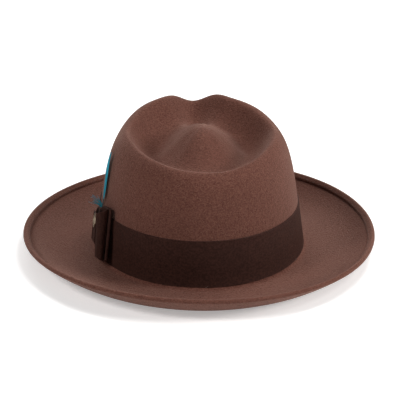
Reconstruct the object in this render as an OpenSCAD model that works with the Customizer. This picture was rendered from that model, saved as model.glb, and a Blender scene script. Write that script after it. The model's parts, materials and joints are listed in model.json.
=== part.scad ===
// Fedora hat with a teardrop crown, a folded welt edge, a ribbon band, a two-loop bow,
// a feather and a stud pin.  Millimetres.  +Y is the front of the hat, +X the wearer's
// right, +Z up.  z = 0 is the surface that the brim rests on.

/* [Head size] */
// Half width of the felt where the crown meets the brim
foot_x = 87; // [84:0.5:90]
// Half length of the felt where the crown meets the brim
foot_y = 104.5; // [101:0.5:108]
// Thickness of one layer of felt
felt_t = 2.1; // [1.8:0.1:2.6]

/* [Brim] */
// Half width of the whole hat
brim_x = 146.5; // [140:0.5:156]
// Half length of the whole hat
brim_y = 161.5; // [155:0.5:172]
// Rise of the edge above the crown's foot at each side
rise_side = 12; // [9:0.5:16]
// Rise of the edge above the crown's foot at the rear
rise_rear = 15.5; // [12:0.5:20]
// Rise of the edge above the crown's foot at the front
rise_front = 12; // [8:0.5:14]
// Extra lift of the right front and left rear of the edge, lost by the other two quarters
edge_twist = 1.6; // [0:0.1:2]
// Width of the edge strip that is folded over onto the top
welt_w = 6.5; // [5:0.5:9]

/* [Crown] */
// Height of the crest above the crown's foot at each side
crest_side = 100; // [92:1:104]
// Height of the crest above the crown's foot at the rear
crest_rear = 90; // [84:1:96]
// Height of the crest above the crown's foot beside the front notch
crest_front = 110; // [102:1:114]
// Depth of the notch in the crest at the front
notch_deep = 9.5; // [4:0.5:12]
// Half width of the crest across the hat
crest_x = 59; // [54:0.5:62]
// Half length of the crest along the hat
crest_y = 74; // [70:1:78]
// Depth of the two finger pinches at the front of the crown
pinch_deep = 8; // [0:0.5:11]
// Depth of the channel around the dome, at the sides
channel_side = 24; // [16:1:28]
// Depth of the channel at the rear
channel_rear = 13; // [8:1:16]
// Depth of the channel at the front
channel_front = 16; // [8:1:20]
// Height of the dome's top above the crown's foot
dome_top = 103; // [98:1:106]

/* [Trim] */
// Height of the ribbon band
band_h = 38; // [30:1:40]
// Length of the bow's rear lobe, from the knot's middle
rear_lobe = 33; // [28:1:35]
// Length of the bow's flatter front lobe
front_lobe = 20; // [19:1:24]
// Height of the rear lobe at its end
rear_h = 43; // [36:1:46]
// Height of the front lobe at its end
front_h = 24; // [23:1:34]
// Height of the bow where the knot gathers it
bow_waist = 22; // [20:1:23]
// Diameter of the stud pin's head
pin_d = 11.5; // [8:0.5:14]
// Length of the feather's vanes
vane_len = 42; // [30:1:44]

/* [Inside] */
// Height of the sweatband
sweat_h = 32; // [26:1:38]
// Height of the lining's tip above the brim
lining_top = 62; // [50:1:66]

/* [Hidden] */

felt_colour = [0.36, 0.24, 0.20];
ribbon_colour = [0.15, 0.09, 0.08];
thread_colour = [0.22, 0.14, 0.12];
feather_colour = [0.0, 0.42, 0.52];
metal_colour = [0.62, 0.55, 0.42];
leather_colour = [0.30, 0.19, 0.13];
satin_colour = [0.20, 0.13, 0.11];

// Top of the brim at the crown's foot, and the height at which the crown's wall starts
brim_z = 4.0;
foot_round = 1.8;
wall_z = brim_z + foot_round;
// The crest oval sits this far behind the middle of the hat and this far to its right
crest_back = 8;
crest_right = 1.2;
notch_x = -1;
notch_wide = 14.5;
// Share of the wall's inward travel that is a straight taper; the rest rounds the shoulder
wall_taper = 0.50;
shoulder_power = 5.5;
// The dome's top lies a little to the wearer's right
dome_side = 2;
// Middle of each pinch: degrees from the front and share of the wall's height
pinch_a = 34;
pinch_wide = 15;
pinch_v = 0.78;
pinch_high = 0.24;
// Part of the way from the crest to the dome's top at which the channel is deepest
channel_at = 0.35;
// Grid of the felt shell
around = 64;
brim_rows = 9;
wall_rows = 10;
dent_rows = 10;

// ---- plain helpers ----
function smooth(t) = let (c = min(1, max(0, t))) c * c * (3 - 2 * c);
function lerp(p, q, t) = p + (q - p) * t;
function unit(v) = v / norm(v);
// A value that is side at the two sides, rear at the rear and front at the front
function around_mix(a, side, rear, front) =
    let (s = sin(a)) side + ((s > 0 ? front : rear) - side) * s * s;

// ---- the felt's upper surface ----
// Brim: s is 0 at the crown's foot and 1 at the edge
function brim_point(a, s) =
    let (
        rise = around_mix(a, rise_side, rise_rear, rise_front) + edge_twist * sin(2 * a),
        power = around_mix(a, 2.9, 3.4, 1.9),
        dip = around_mix(a, 0.4, 3.1, 4.1),
        x = lerp(foot_x + foot_round, brim_x, s),
        y = lerp(foot_y + foot_round, brim_y, s)
    )
    [x * cos(a), y * sin(a), brim_z - dip * 4 * s * (1 - s) + rise * pow(s, power)];

// Crest: the highest line of the crown, higher at the front, with a notch in the middle
function crest_point(a) =
    let (
        s = sin(a),
        narrow = 1 - 0.16 * smooth((s + 0.1) / 1.1),
        x = crest_x * cos(a) * narrow + crest_right,
        y = -crest_back + crest_y * s,
        high = s > 0 ? crest_side + (crest_front - crest_side) * smooth(s / (cos(a) < 0 ? 0.88 : 1.05))
                     : crest_side + (crest_rear - crest_side) * s * s,
        notch = s > 0 ? notch_deep * exp(-pow((x - notch_x) / notch_wide, 2)) : 0
    )
    [x, y, brim_z + 1.5 + high - notch];

function wall_travel(v) =
    wall_taper * v + (1 - wall_taper) * (1 - sqrt(max(0, 1 - pow(max(0, v), shoulder_power))));

// Finger pinches: hollows in the wall on each side of the front's middle
function pinch(a, v) =
    sin(a) <= 0 ? 0 :
    pinch_deep * exp(-pow((asin(abs(cos(a))) - pinch_a) / pinch_wide, 2))
               * exp(-pow((v - pinch_v) / pinch_high, 2));

// Wall: v is 0 at the crown's foot and 1 at the crest
function wall_point(a, v) =
    let (
        c = crest_point(a),
        g = wall_travel(v),
        n = unit([cos(a) / foot_x, sin(a) / foot_y]) * pinch(a, v)
    )
    [lerp(foot_x * cos(a), c.x, g) - n.x, lerp(foot_y * sin(a), c.y, g) - n.y, lerp(wall_z, c.z, v)];

// Dent: w is 0 at the crest and 1 at the dome's top
function dent_point(a, w) =
    let (
        c = wall_point(a, 1),
        top = [dome_side, -crest_back, brim_z + 1.5 + dome_top],
        deep = around_mix(a, channel_side, channel_rear, channel_front),
        fall = w < channel_at ? sin(90 * w / channel_at)
                              : 1 - pow(sin(90 * (w - channel_at) / (1 - channel_at)), 1.6)
    )
    [lerp(c.x, top.x, w), lerp(c.y, top.y, w), lerp(c.z, top.z, smooth(w)) - deep * fall];

// The whole surface as one parameter: 0 to 1 brim, 1 to 2 wall, 2 to 3 dent
function felt_point(a, u) =
    u < 1 ? brim_point(a, 1 - u) : u < 2 ? wall_point(a, u - 1) : dent_point(a, u - 2);

function felt_normal(a, u) =
    let (
        da = felt_point(a + 0.4, u) - felt_point(a - 0.4, u),
        du = felt_point(a, min(2.98, u + 0.004)) - felt_point(a, max(0, u - 0.004))
    )
    unit(cross(da, du));

// A point off the surface; the underside is flattened where the hat rests
function felt_off(a, u, off) =
    let (p = felt_point(a, u) + felt_normal(a, u) * off) [p.x, p.y, max(0, p.z)];

// ---- points beside the crown's wall, for everything that follows it ----
function wall_beside(a, z, off) =
    let (
        v = (z - wall_z) / (crest_point(a).z - wall_z),
        p = wall_point(a, v),
        n = unit([cos(a) / foot_x, sin(a) / foot_y])
    )
    [p.x + n.x * off, p.y + n.y * off, z];

// A closed ring around the crown; section is a loop of [offset, height] points
module wall_ring(section, steps = around) {
    k = len(section);
    points = [for (j = [0:steps - 1], p = section) wall_beside(360 * j / steps, p[1], p[0])];
    faces = [
        for (j = [0:steps - 1], i = [0:k - 1])
            let (j2 = (j + 1) % steps, i2 = (i + 1) % k)
            each [[j * k + i, j * k + i2, j2 * k + i], [j * k + i2, j2 * k + i2, j2 * k + i]]
    ];
    polyhedron(points, faces, convexity = 4);
}

// A strip of the same kind between two angles; its section has four points
module wall_strip(section, from, to, steps) {
    points = [
        for (j = [0:steps], p = section) wall_beside(lerp(from, to, j / steps), p[1], p[0])
    ];
    last = steps * 4;
    faces = [
        for (j = [0:steps - 1], i = [0:3])
            let (p = j * 4, q = p + 4, i2 = (i + 1) % 4)
            each [[p + i, p + i2, q + i], [p + i2, q + i2, q + i]],
        [2, 1, 0], [3, 2, 0], [last, last + 1, last + 2], [last, last + 2, last + 3]
    ];
    polyhedron(points, faces, convexity = 4);
}

// Section of an upright strip from height low to high, with inner and outer offsets
function upright(low, high, inner, outer, cuts = 3) = concat(
    [for (i = [0:cuts]) [outer, lerp(low, high, i / cuts)]],
    [for (i = [cuts:-1:0]) [inner, lerp(low, high, i / cuts)]]
);
function round_section(off, z, r, sides = 8) =
    [for (i = [0:sides - 1]) [off + r * cos(360 * i / sides), z + r * sin(360 * i / sides)]];

// ---- felt ----
welt_start = welt_w / (brim_x - foot_x);
edge_round = 0.018;
welt_t = felt_t - 0.3;

// Rows of the upper skin, from the edge to the crest and on towards the dome: [u, offset]
upper_rows = concat(
    [[0, 0.4 * welt_t], [edge_round, welt_t], [welt_start, welt_t], [welt_start + 0.008, 0]],
    [for (i = [1:brim_rows - 1]) [lerp(welt_start, 0.999, i / brim_rows), 0]],
    [for (i = [0:wall_rows - 1]) [1 + lerp(0.001, 0.97, pow(i / (wall_rows - 1), 1.5)), 0]],
    [for (i = [0:dent_rows - 1]) [2 + 0.94 * i / (dent_rows - 1), 0]]
);
// Rows of the under skin, from the edge: the same places, one felt thickness below
under_rows = concat(
    [[0, -0.55 * felt_t], [edge_round, -felt_t]],
    [for (i = [2:len(upper_rows) - 1]) if (i != 3) [upper_rows[i][0], -felt_t]]
);

module felt_body() {
    color(felt_colour) {
        up = len(upper_rows);
        down = len(under_rows);
        top = dent_point(0, 1);
        points = concat(
            [for (r = upper_rows, j = [0:around - 1]) felt_off(360 * j / around, r[0], r[1])],
            [for (r = under_rows, j = [0:around - 1]) felt_off(360 * j / around, r[0], r[1])],
            [top, top - [0, 0, felt_t]]
        );
        under = up * around;
        apex = (up + down) * around;
        faces = concat(
            [for (i = [0:up - 2], j = [0:around - 1])
                let (p = i * around, q = p + around, j2 = (j + 1) % around)
                each [[p + j, q + j, p + j2], [p + j2, q + j, q + j2]]],
            [for (j = [0:around - 1])
                let (p = (up - 1) * around) [p + j, apex, p + (j + 1) % around]],
            [for (i = [0:down - 2], j = [0:around - 1])
                let (p = under + i * around, q = p + around, j2 = (j + 1) % around)
                each [[p + j, p + j2, q + j], [p + j2, q + j2, q + j]]],
            [for (j = [0:around - 1])
                let (p = under + (down - 1) * around) [p + j, p + (j + 1) % around, apex + 1]],
            [for (j = [0:around - 1])
                let (j2 = (j + 1) % around)
                each [[j, j2, under + j], [j2, under + j2, under + j]]]
        );
        polyhedron(points, faces, convexity = 8);
    }
}

// One straight stitch, a small rounded bar centred on the origin along X
stitch_t = 0.4;
stitch_lift = 0.55;
module stitch(length) {
    cube([length, stitch_t, stitch_t], center = true);
}

// Row of stitches that holds the folded edge, lying on the welt
welt_stitches = 120;
module welt_stitching() {
    color(thread_colour)
    for (i = [0:welt_stitches - 1]) {
        a = 360 * (i + 0.5) / welt_stitches;
        u = 0.8 * welt_start;
        p = felt_off(a, u, welt_t + stitch_lift);
        q = felt_off(a + 0.5, u, welt_t + stitch_lift) - p;
        translate(p)
            rotate([0, -asin(q.z / norm(q)), atan2(q.y, q.x)])
                stitch(3.2);
    }
}

// ---- ribbon band and bow ----
ribbon_t = 0.4;
band_gap = 0.35;
band_z = wall_z + 0.1;
band_out = band_gap + 0.6;

module ribbon_band() {
    color(ribbon_colour) wall_ring(upright(band_z, band_z + band_h, band_gap, band_out, 4));
}

// Short hidden tacks that hold the band's lower edge to the brim
tack_count = 6;
module ribbon_tacks() {
    color(thread_colour)
    for (i = [0:tack_count - 1]) {
        a = 30 + 360 * i / tack_count;
        p = wall_beside(a, band_z + 1.2, band_out + 0.3);
        q = wall_beside(a + 0.5, band_z + 1.2, band_out + 0.3) - p;
        translate(p) rotate([0, 0, atan2(q.y, q.x)]) stitch(2);
    }
}

// Bow frame: x outward from the band's face, y along the wall towards the rear, z up it
bow_y = -22;
bow_a = 180 - asin(bow_y / foot_y);
// The bow doesn't lie flat on the wall: its rear end stands off by this angle
bow_off_wall = 5.5;
bow_turn = atan2(sin(bow_a) / foot_y, cos(bow_a) / foot_x) - bow_off_wall;
bow_mid_z = band_z + 20;
wall_top = wall_beside(bow_a, band_z + band_h, 0);
wall_low = wall_beside(bow_a, band_z, 0);
bow_lean = atan2(norm([wall_top.x - wall_low.x, wall_top.y - wall_low.y]), band_h);
// The bow sits with its rear lobe a little higher than its front lobe
bow_tilt = 12;
wall_radius = foot_y * foot_y / foot_x;
knot_half = 6;

module at_bow() {
    translate(wall_beside(bow_a, bow_mid_z, band_out))
        rotate([0, 0, bow_turn])
            rotate([0, -bow_lean, 0])
                children();
}
module at_tilted_bow() { at_bow() rotate([bow_tilt, 0, 0]) children(); }

// Faces of the two ribbon loops, as distances from the band at the distance t along a lobe:
// a loop leaves the knot flat and opens towards the lobe's end.  full is 1 for the rear
// lobe and less for the flatter front lobe.
ply_gap = 0.1;
pinched = 2 * ribbon_t + ply_gap;
loop_low = 2.2;
function opened(t, len) = smooth((t - 7) / (len - 11));
// Room between the bow's plane and the band at a lobe's end
function end_room(len, full) =
    len * len / (2 * wall_radius) + (full == 1 ? 1 : -1) * len * tan(bow_off_wall);
function inner_low(t, len, full) =
    loop_low - opened(t, len) * (loop_low + end_room(len, full) - lerp(1.2, 3.1, full));
function inner_high(t, len, full) = inner_low(t, len, full) + pinched + 1.9 * full * opened(t, len);
function outer_low(t, len, full) = inner_high(t, len, full) + ply_gap + 0.4 * full * opened(t, len);
function outer_high(t, len, full) = outer_low(t, len, full) + pinched + 6.8 * full * opened(t, len);
// Roundness of a lobe's end: 1 along the lobe, falling to 0 at its tip
function tip_round(t, len, r) = let (d = (t - (len - r)) / r) d < 0 ? 1 : sqrt(max(0, 1 - d * d));

// Outline of one lobe of one loop, shrunk inward by the given amount
module lobe_outline(inner, len, full, shrink) {
    r = inner ? 1.2 + full : 1.2 + 2.6 * full;
    steps = 22;
    ts = [for (i = [0:steps]) lerp(shrink > 0 ? 6.5 : 0, len - shrink, sin(90 * i / steps))];
    low = [for (t = ts) inner ? inner_low(t, len, full) : outer_low(t, len, full)];
    high = [for (t = ts) inner ? inner_high(t, len, full) : outer_high(t, len, full)];
    mid = (low + high) / 2;
    half = [for (i = [0:steps])
        max(0, ((high[i] - low[i]) / 2 - shrink) * tip_round(ts[i] + shrink, len, r))];
    polygon(concat(
        [for (i = [0:steps]) [mid[i] - half[i], ts[i]]],
        [for (i = [steps - 1:-1:0]) [mid[i] + half[i], ts[i]]]
    ));
}

// Side view of one lobe: it widens from the gathered waist to its end
module lobe_profile(len, high) {
    steps = 10;
    function half_height(t) = lerp(bow_waist / 2, high / 2, smooth((t - 5) / 12));
    polygon(concat(
        [for (i = [0:steps]) let (t = len * i / steps) [t * 1.02, -half_height(t)]],
        [for (i = [steps:-1:0]) let (t = len * i / steps) [t * 1.02, half_height(t)]]
    ));
}

pin_hole_r = 0.58;
pin_z = 6.3;

module bow_lobe(inner, len, high, full) {
    difference() {
        intersection() {
            translate([0, 0, -high]) linear_extrude(2 * high) difference() {
                lobe_outline(inner, len, full, 0);
                lobe_outline(inner, len, full, ribbon_t);
            }
            translate([-12, 0, 0]) rotate([90, 0, 90]) linear_extrude(40) lobe_profile(len, high);
        }
        pin_hole();
    }
}
module pin_hole() {
    translate([0, 0, pin_z]) rotate([0, 90, 0]) cylinder(r = pin_hole_r, h = 20, $fn = 24);
}
module bow_loop(inner) {
    color(ribbon_colour) at_tilted_bow() {
        bow_lobe(inner, rear_lobe, rear_h, 1);
        mirror([0, 1, 0]) bow_lobe(inner, front_lobe, front_h, 0.05);
    }
}
module bow_inner_loop() { bow_loop(true); }
module bow_outer_loop() { bow_loop(false); }

// Knot: a ribbon wrapped up, over and down around the bow's waist
knot_back = 0.95;
knot_front = loop_low + 2 * pinched + 2 * ply_gap;
knot_t = 0.45;
knot_h = bow_waist + 2;
module bow_knot() {
    color(ribbon_colour) at_tilted_bow() difference() {
        translate([knot_back, -knot_half, -knot_h / 2 - ribbon_t])
            cube([knot_front + knot_t - knot_back, 2 * knot_half, knot_h + 2 * ribbon_t]);
        translate([knot_back + ribbon_t, -2 * knot_half, -knot_h / 2])
            cube([knot_front - knot_back - ribbon_t, 4 * knot_half, knot_h]);
        pin_hole();
    }
}

// ---- stud pin through the knot ----
post_r = 0.5;
clutch_low = 0.3;
pin_face = knot_front + knot_t + 0.1;
module at_pin() { at_tilted_bow() translate([0, 0, pin_z]) rotate([0, 90, 0]) children(); }

module pin_head() {
    color(metal_colour) at_pin() translate([0, 0, pin_face]) difference() {
        rotate_extrude($fn = 48)
            polygon([[0, 0], [pin_d / 2 - 0.3, 0], [pin_d / 2, 0.2], [pin_d / 2, 0.7],
                     [pin_d / 2 - 0.4, 1.0], [pin_d / 2 - 1.2, 1.0], [pin_d / 2 - 1.6, 0.7],
                     [2.6, 0.8], [1.4, 1.2], [0, 1.3]]);
        translate([0, 0, -0.1]) cylinder(r = post_r + 0.02, h = 0.6, $fn = 32);
    }
}
module pin_post() {
    color(metal_colour) at_pin() translate([0, 0, clutch_low + 0.1])
        cylinder(r = post_r, h = pin_face + 0.3 - clutch_low, $fn = 32);
}
module pin_clutch() {
    color(metal_colour) at_pin() translate([0, 0, clutch_low]) difference() {
        rotate_extrude($fn = 40)
            polygon([[0, 0], [2, 0], [2.2, 0.15], [2.2, 0.4], [2, 0.52], [0, 0.52]]);
        translate([0, 0, -0.1]) cylinder(r = post_r + 0.02, h = 0.8, $fn = 32);
    }
}

// ---- feather, tucked between the band and the bow, just behind the knot ----
feather_t = 7.1;
feather_off = 0.72;
quill_r = 0.55;
quill_low = -11;
quill_len = 30;
barb_z = 19;
vane_low = 25;
module at_feather() { at_tilted_bow() translate([feather_off, feather_t, 0]) children(); }
module feather_quill() {
    color([0.85, 0.82, 0.74]) at_feather() {
        translate([0, 0, quill_low]) cylinder(r = quill_r, h = quill_len, $fn = 24);
        translate([0, 0, quill_low + quill_len])
            cylinder(r1 = quill_r, r2 = 0.15, h = vane_low + vane_len - 4 - quill_len - quill_low,
                     $fn = 24);
    }
}
// Two vanes, one on each side of the quill
function vane_width(t) = 6.2 * pow(sin(180 * pow(t, 0.75)), 0.7);
module feather_vanes() {
    steps = 20;
    color(feather_colour) at_feather() translate([-0.55, 0, vane_low])
        rotate([90, 0, 90]) linear_extrude(1.1) for (side = [-1, 1])
            polygon(concat(
                [for (i = [0:steps]) [side * (quill_r + 0.1), vane_len * i / steps]],
                [for (i = [steps - 1:-1:1])
                    [side * (quill_r + 0.25 + vane_width(i / steps)), vane_len * i / steps]]
            ));
}
// Downy barbs below the vanes, just above the bow
barb_count = 7;
module feather_barbs() {
    color([0.35, 0.58, 0.62]) at_feather() for (i = [0:barb_count - 1])
        translate([0, 0, barb_z - 0.25 * (i % 3)])
            rotate([0, 0, -75 + 85 * i / (barb_count - 1)])
                translate([quill_r + 0.15, 0, 0])
                    rotate([0, 78 - 9 * (i % 3), 0])
                        cylinder(r1 = 0.3, r2 = 0.12, h = 8 + 1.5 * (i % 3), $fn = 16);
}

// ---- inside of the crown ----
// Offsets inward from the felt's outer face, from the felt towards the head
lining_off = -(felt_t + 0.5);
lining_t = 0.3;
sweat_off = lining_off - lining_t - 0.2;
sweat_t = 0.9;
sweat_z = brim_z + 0.6;
reed_z = sweat_z - 1.4;
reed_r = 0.55;
tape_r = 0.95;
reed_off = sweat_off - sweat_t / 2;

module sweatband() {
    color(leather_colour) wall_ring(upright(sweat_z, sweat_z + sweat_h, sweat_off - sweat_t, sweat_off));
}
module sweatband_reed() {
    color([0.8, 0.78, 0.72]) wall_ring(round_section(reed_off, reed_z, reed_r, 6));
}
// Tape folded up around the reed, open at the top where the sweatband's edge sits in it
module reed_tape() {
    turns = 8;
    function tape_point(i, r) =
        let (t = 140 + 260 * i / turns) [reed_off + r * cos(t), reed_z + r * sin(t)];
    color([0.25, 0.18, 0.15]) wall_ring(concat(
        [for (i = [0:turns]) tape_point(i, tape_r)],
        [for (i = [turns:-1:0]) tape_point(i, tape_r - 0.25)]
    ));
}

sweat_stitches = 96;
module sweatband_stitching() {
    color(thread_colour)
    for (i = [0:sweat_stitches - 1]) {
        a = 360 * i / sweat_stitches;
        off = sweat_off - sweat_t - stitch_lift;
        p = wall_beside(a, sweat_z + 3, off);
        q = wall_beside(a + 0.5, sweat_z + 3, off) - p;
        translate(p) rotate([0, 0, atan2(q.y, q.x)]) stitch(3.4);
    }
}

// Small ribbon bow that ties the sweatband's seam at the rear
module sweatband_bow() {
    color(ribbon_colour)
        translate([0, wall_beside(270, sweat_z + 9, sweat_off - sweat_t - 1.9).y, sweat_z + 9])
            rotate([-90, 0, 0]) {
                for (side = [-1, 1]) difference() {
                    linear_extrude(1.6)
                        polygon([[side * 2.2, 1.6], [side * 11, 4.2], [side * 12, 3],
                                 [side * 12, -3], [side * 11, -4.2], [side * 2.2, -1.6]]);
                    translate([0, 0, 0.4]) linear_extrude(0.8)
                        polygon([[side * 3.2, 2.8], [side * 10.6, 5], [side * 11.4, 3],
                                 [side * 11.4, -3], [side * 10.6, -5], [side * 3.2, -2.8]]);
                }
                translate([-2, -2.2, 0]) cube([4, 4.4, 2.2]);
            }
}

lining_low = sweat_z + 5;
lining_high = brim_z + lining_top;
module lining_side() {
    color(satin_colour)
        wall_ring(upright(lining_low, lining_high, lining_off - lining_t, lining_off, 4));
}
tip_off = lining_off - lining_t - 0.5;
tip_t = 0.35;
// A low oval dome whose rim follows the wall; sag is how far the rim sits below its middle
module tip_sheet(z, off, thick, sag) {
    rings = 5;
    function sheet_point(a, i, lift) =
        let (r = i / rings, p = wall_beside(a, z, off))
        [p.x * r, p.y * r, z + sag * (1 - r * r) + lift];
    points = concat(
        [for (i = [1:rings], j = [0:around - 1]) sheet_point(360 * j / around, i, thick)],
        [for (i = [1:rings], j = [0:around - 1]) sheet_point(360 * j / around, i, 0)],
        [[0, 0, z + sag + thick], [0, 0, z + sag]]
    );
    under = rings * around;
    hub = 2 * under;
    faces = concat(
        [for (i = [0:rings - 2], j = [0:around - 1])
            let (p = i * around, q = p + around, j2 = (j + 1) % around)
            each [[p + j, p + j2, q + j], [p + j2, q + j2, q + j],
                  [under + p + j, under + q + j, under + p + j2],
                  [under + p + j2, under + q + j, under + q + j2]]],
        [for (j = [0:around - 1])
            let (j2 = (j + 1) % around, p = (rings - 1) * around)
            each [[hub, j2, j], [hub + 1, under + j, under + j2],
                  [p + j, p + j2, under + p + j], [p + j2, under + p + j2, under + p + j]]]
    );
    polyhedron(points, faces, convexity = 4);
}
module lining_tip() { color(satin_colour) tip_sheet(lining_high - 2.5, tip_off, tip_t, 4); }
module lining_piping() {
    color([0.45, 0.33, 0.2]) wall_ring(round_section(tip_off - 0.9, lining_high - 3.5, 0.7, 6));
}
// Clear sheet under the tip, smaller than it
module tip_shield() {
    color([0.85, 0.88, 0.9, 0.4]) tip_sheet(lining_high - 2.9, tip_off - 22, 0.3, 3.2);
}
// Blank size tab on the sweatband, right of the rear seam
module size_label() {
    low = sweat_z + 12;
    color([0.9, 0.88, 0.82]) wall_strip([
        [sweat_off - sweat_t - 0.15, low], [sweat_off - sweat_t - 0.15, low + 12],
        [sweat_off - sweat_t - 0.5, low + 12], [sweat_off - sweat_t - 0.5, low]
    ], 286, 294, 4);
}

felt_body();
welt_stitching();
ribbon_band();
ribbon_tacks();
bow_inner_loop();
bow_outer_loop();
bow_knot();
feather_quill();
feather_vanes();
feather_barbs();
pin_head();
pin_post();
pin_clutch();
sweatband();
sweatband_reed();
reed_tape();
sweatband_stitching();
sweatband_bow();
lining_side();
lining_tip();
lining_piping();
tip_shield();
size_label();
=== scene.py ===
"""Looks of the fedora hat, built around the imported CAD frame.  Metres, +Z up, +Y front."""
import json
import math

import bmesh
import bpy
import numpy as np
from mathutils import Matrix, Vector


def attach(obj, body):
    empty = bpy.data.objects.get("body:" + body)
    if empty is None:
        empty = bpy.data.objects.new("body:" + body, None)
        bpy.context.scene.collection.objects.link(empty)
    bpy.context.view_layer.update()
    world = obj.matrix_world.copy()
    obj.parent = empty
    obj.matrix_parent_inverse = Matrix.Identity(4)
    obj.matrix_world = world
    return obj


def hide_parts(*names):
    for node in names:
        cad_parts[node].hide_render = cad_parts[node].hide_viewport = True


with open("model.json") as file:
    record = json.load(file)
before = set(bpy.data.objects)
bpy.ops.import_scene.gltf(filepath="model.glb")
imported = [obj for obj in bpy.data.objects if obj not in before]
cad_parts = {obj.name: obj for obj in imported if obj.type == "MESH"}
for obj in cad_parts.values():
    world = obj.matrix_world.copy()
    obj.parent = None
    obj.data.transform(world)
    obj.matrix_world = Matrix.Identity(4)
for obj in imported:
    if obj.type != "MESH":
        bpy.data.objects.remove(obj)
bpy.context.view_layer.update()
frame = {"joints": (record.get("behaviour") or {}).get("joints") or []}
rng = np.random.default_rng(7)
MM = 0.001

# ---- the hat's design values, millimetres, the same as the CAD's ----
FOOT_X, FOOT_Y, FELT_T = 87.0, 104.5, 2.1
BRIM_X, BRIM_Y = 146.5, 161.5
RISE_SIDE, RISE_REAR, RISE_FRONT, EDGE_TWIST = 12.0, 15.5, 12.0, 1.6
WELT_W = 6.5
CREST_SIDE, CREST_REAR, CREST_FRONT, NOTCH_DEEP = 100.0, 90.0, 110.0, 9.5
CREST_X, CREST_Y, CREST_BACK, CREST_RIGHT = 59.0, 74.0, 8.0, 1.2
PINCH_DEEP, PINCH_A, PINCH_WIDE, PINCH_V, PINCH_HIGH = 8.0, 34.0, 15.0, 0.78, 0.24
CHANNEL_SIDE, CHANNEL_REAR, CHANNEL_FRONT, CHANNEL_AT = 24.0, 13.0, 16.0, 0.35
DOME_TOP, DOME_SIDE = 103.0, 2.0
BRIM_Z, FOOT_ROUND = 4.0, 1.8
WALL_Z = BRIM_Z + FOOT_ROUND
WALL_TAPER, SHOULDER_POWER = 0.50, 5.5
BAND_Z, BAND_H, BAND_GAP, BAND_OUT = WALL_Z + 0.1, 38.0, 0.35, 0.95
SWEAT_H, LINING_TOP = 32.0, 62.0
LINING_OFF, LINING_T = -(FELT_T + 0.5), 0.3
SWEAT_OFF, SWEAT_T = LINING_OFF - LINING_T - 0.2, 0.9
SWEAT_Z = BRIM_Z + 0.6


def smooth(t):
    c = np.clip(t, 0, 1)
    return c * c * (3 - 2 * c)


def lerp(p, q, t):
    return p + (q - p) * t


def unit(v):
    return v / np.maximum(np.linalg.norm(v, axis=-1, keepdims=True), 1e-12)


def stack(x, y, z):
    return np.stack(np.broadcast_arrays(x, y, z), axis=-1).astype(float)


def circle(count):
    """Angles of one full turn, without the repeated end."""
    return np.linspace(0, 2 * np.pi, count, endpoint=False)


def travelled(x, y):
    """Length along a flat path, at each of its points."""
    return np.concatenate([[0], np.cumsum(np.hypot(np.diff(x), np.diff(y)))])


def around_mix(a, side, rear, front):
    """A value that goes from side to rear or front with the angle a round the hat."""
    s = np.sin(a)
    return side + (np.where(s > 0, front, rear) - side) * s * s


# ---- the felt's upper surface, as in the CAD ----
def brim_point(a, s):
    """The brim's top; s is 0 at the crown's foot and 1 at the edge."""
    rise = around_mix(a, RISE_SIDE, RISE_REAR, RISE_FRONT) + EDGE_TWIST * np.sin(2 * a)
    power = around_mix(a, 2.9, 3.4, 1.9)
    dip = around_mix(a, 0.4, 3.1, 4.1)
    x = lerp(FOOT_X + FOOT_ROUND, BRIM_X, s)
    y = lerp(FOOT_Y + FOOT_ROUND, BRIM_Y, s)
    return stack(x * np.cos(a), y * np.sin(a),
                 BRIM_Z - dip * 4 * s * (1 - s) + rise * np.power(s, power))


def crest_point(a):
    """The crown's highest line, with the notch at the front."""
    s = np.sin(a)
    narrow = 1 - 0.16 * smooth((s + 0.1) / 1.1)
    x = CREST_X * np.cos(a) * narrow + CREST_RIGHT
    y = -CREST_BACK + CREST_Y * s
    rise_by = np.where(np.cos(a) < 0, 0.88, 1.05)
    high = np.where(s > 0, CREST_SIDE + (CREST_FRONT - CREST_SIDE) * smooth(s / rise_by),
                    CREST_SIDE + (CREST_REAR - CREST_SIDE) * s * s)
    notch = np.where(s > 0, NOTCH_DEEP * np.exp(-((x + 1) / 14.5) ** 2), 0)
    return stack(x, y, BRIM_Z + 1.5 + high - notch)


def wall_travel(v):
    """Share of the way in from the foot to the crest, at the share v of the wall's height."""
    v = np.clip(v, 0, 1)
    round_in = 1 - np.sqrt(np.maximum(0, 1 - np.power(v, SHOULDER_POWER)))
    return WALL_TAPER * v + (1 - WALL_TAPER) * round_in


def wall_point(a, v):
    """The crown's wall, with the two finger pinches near the front."""
    c = crest_point(a)
    g = wall_travel(v)
    off_front = np.degrees(np.arcsin(np.clip(np.abs(np.cos(a)), 0, 1)))
    pinch = np.where(np.sin(a) > 0, PINCH_DEEP, 0) * np.exp(
        -((off_front - PINCH_A) / PINCH_WIDE) ** 2) * np.exp(-((v - PINCH_V) / PINCH_HIGH) ** 2)
    n = unit(stack(np.cos(a) / FOOT_X, np.sin(a) / FOOT_Y, 0 * a)) * pinch[..., None]
    x = lerp(FOOT_X * np.cos(a), c[..., 0], g)
    y = lerp(FOOT_Y * np.sin(a), c[..., 1], g)
    return stack(x, y, lerp(WALL_Z, c[..., 2], v)) - n


def dent_point(a, w):
    """The crown's top; w is 0 at the crest and 1 at the middle of the dome."""
    c = wall_point(a, np.ones_like(a))
    deep = around_mix(a, CHANNEL_SIDE, CHANNEL_REAR, CHANNEL_FRONT)
    into = np.sin(np.pi / 2 * np.clip(w / CHANNEL_AT, 0, 1))
    out = 1 - np.sin(np.pi / 2 * np.clip((w - CHANNEL_AT) / (1 - CHANNEL_AT), 0, 1)) ** 1.6
    fall = np.where(w < CHANNEL_AT, into, out)
    return stack(lerp(c[..., 0], DOME_SIDE, w), lerp(c[..., 1], -CREST_BACK, w),
                 lerp(c[..., 2], BRIM_Z + 1.5 + DOME_TOP, smooth(w)) - deep * fall)


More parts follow.
